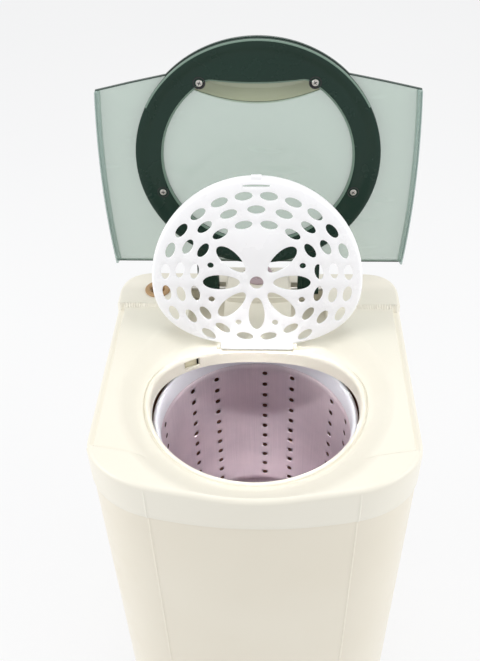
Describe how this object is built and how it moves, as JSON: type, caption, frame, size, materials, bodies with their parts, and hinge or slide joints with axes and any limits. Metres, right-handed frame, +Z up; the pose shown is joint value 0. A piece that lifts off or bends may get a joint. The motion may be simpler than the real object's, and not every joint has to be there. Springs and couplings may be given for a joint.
{
  "type": "laundry spin dryer",
  "caption": "Upright top-loading spin dryer with a perforated drum, a smoked outer lid on two arms, a pierced inner safety lid and a timer knob on the rear console.",
  "frame": {"origin": "bottom centre of the part's bounding box, on the surface that the feet stand on", "axes": "+X to the machine's right as seen from its front, +Y to its back, where the lids are hinged, +Z up"},
  "size_m": [0.341, 0.3428, 0.8866],
  "materials": {
    "body_cream": "semi-gloss moulded plastic",
    "lid_smoked": "smoked translucent moulded plastic",
    "frame_green": "glossy dark green plastic",
    "disc_white": "semi-gloss white plastic",
    "drum_steel": "brushed stainless steel",
    "zinc": "zinc-plated steel",
    "rubber_black": "matt black rubber",
    "tub_grey": "matt moulded plastic",
    "pan_grey": "matt moulded plastic",
    "motor_shell": "painted cast shell",
    "knob_mauve": "semi-gloss moulded plastic",
    "fitting_tan": "matt moulded plastic",
    "brake_lining": "matt friction lining"
  },
  "bodies": {
    "cabinet": {"base_pan": "pan_grey", "foot_1": "rubber_black", "foot_2": "rubber_black", "foot_3": "rubber_black", "foot_4": "rubber_black", "casing": "body_cream", "rear_cover": "body_cream", "rear_cover_screw_1": "zinc", "rear_cover_screw_2": "zinc", "rear_cover_screw_3": "zinc", "rear_cover_screw_4": "zinc", "cord_gland": "rubber_black", "top_cover": "body_cream", "water_inlet": "fitting_tan", "timer_body": "tub_grey", "lid_hinge_pin_left": "zinc", "lid_hinge_pin_right": "zinc", "inner_lid_pin": "zinc", "switch_body": "rubber_black", "brake_pivot": "zinc", "motor_plate": "zinc", "motor": "motor_shell", "spring_1": "zinc", "spring_2": "zinc", "spring_3": "zinc", "capacitor": "tub_grey", "water_tub": "tub_grey", "tub_seal": "rubber_black", "drain_pipe": "rubber_black"},
    "outer_lid": {"lid_window": "lid_smoked", "lid_frame": "frame_green", "lid_screw_1": "zinc", "lid_screw_2": "zinc", "lid_screw_3": "zinc", "lid_screw_4": "zinc"},
    "safety_lid": {"inner_lid": "disc_white"},
    "spinning_drum": {"spin_drum": "drum_steel", "drum_ring": "disc_white", "drum_hub": "zinc", "drum_nut": "zinc", "drive_shaft": "zinc", "brake_drum": "zinc"},
    "knob": {"timer_knob": "knob_mauve", "timer_shaft": "zinc"},
    "lid_switch_lever": {"switch_lever": "fitting_tan"},
    "brake": {"brake_lever": "brake_lining"}
  },
  "joints": [
    {"name": "outer_lid_hinge", "type": "hinge", "parent": "cabinet", "child": "outer_lid", "pos_m": [0, 0.14125, 0.587], "axis": [1, 0, 0], "range_deg": [0, 91.8]},
    {"name": "inner_lid_hinge", "type": "hinge", "parent": "cabinet", "child": "safety_lid", "pos_m": [0, 0.05005, 0.5762], "axis": [1, 0, 0], "range_deg": [0, 101]},
    {"name": "drum_spin", "type": "hinge", "parent": "cabinet", "child": "spinning_drum", "pos_m": [0, -0.02775, 0.4], "axis": [0, 0, 1], "continuous": true},
    {"name": "timer_turn", "type": "hinge", "parent": "cabinet", "child": "knob", "pos_m": [0, 0.14425, 0.6], "axis": [0, 0, -1], "range_deg": [0, 300]},
    {"name": "switch_lever_swing", "type": "hinge", "parent": "cabinet", "child": "lid_switch_lever", "pos_m": [-0.07494, 0.03679, 0.5598], "axis": [-0.8902, -0.4555, 0], "range_deg": [0, 10]},
    {"name": "brake_release", "type": "hinge", "parent": "cabinet", "child": "brake", "pos_m": [0.055, -0.00275, 0.212], "axis": [0, 0, 1], "range_deg": [0, 5]}
  ],
  "couplings": [
    {"joint": "inner_lid_hinge", "follows": "outer_lid_hinge", "ratio": 1.1},
    {"joint": "switch_lever_swing", "follows": "outer_lid_hinge", "ratio": 0.108},
    {"joint": "brake_release", "follows": "outer_lid_hinge", "ratio": 0.054}
  ]
}
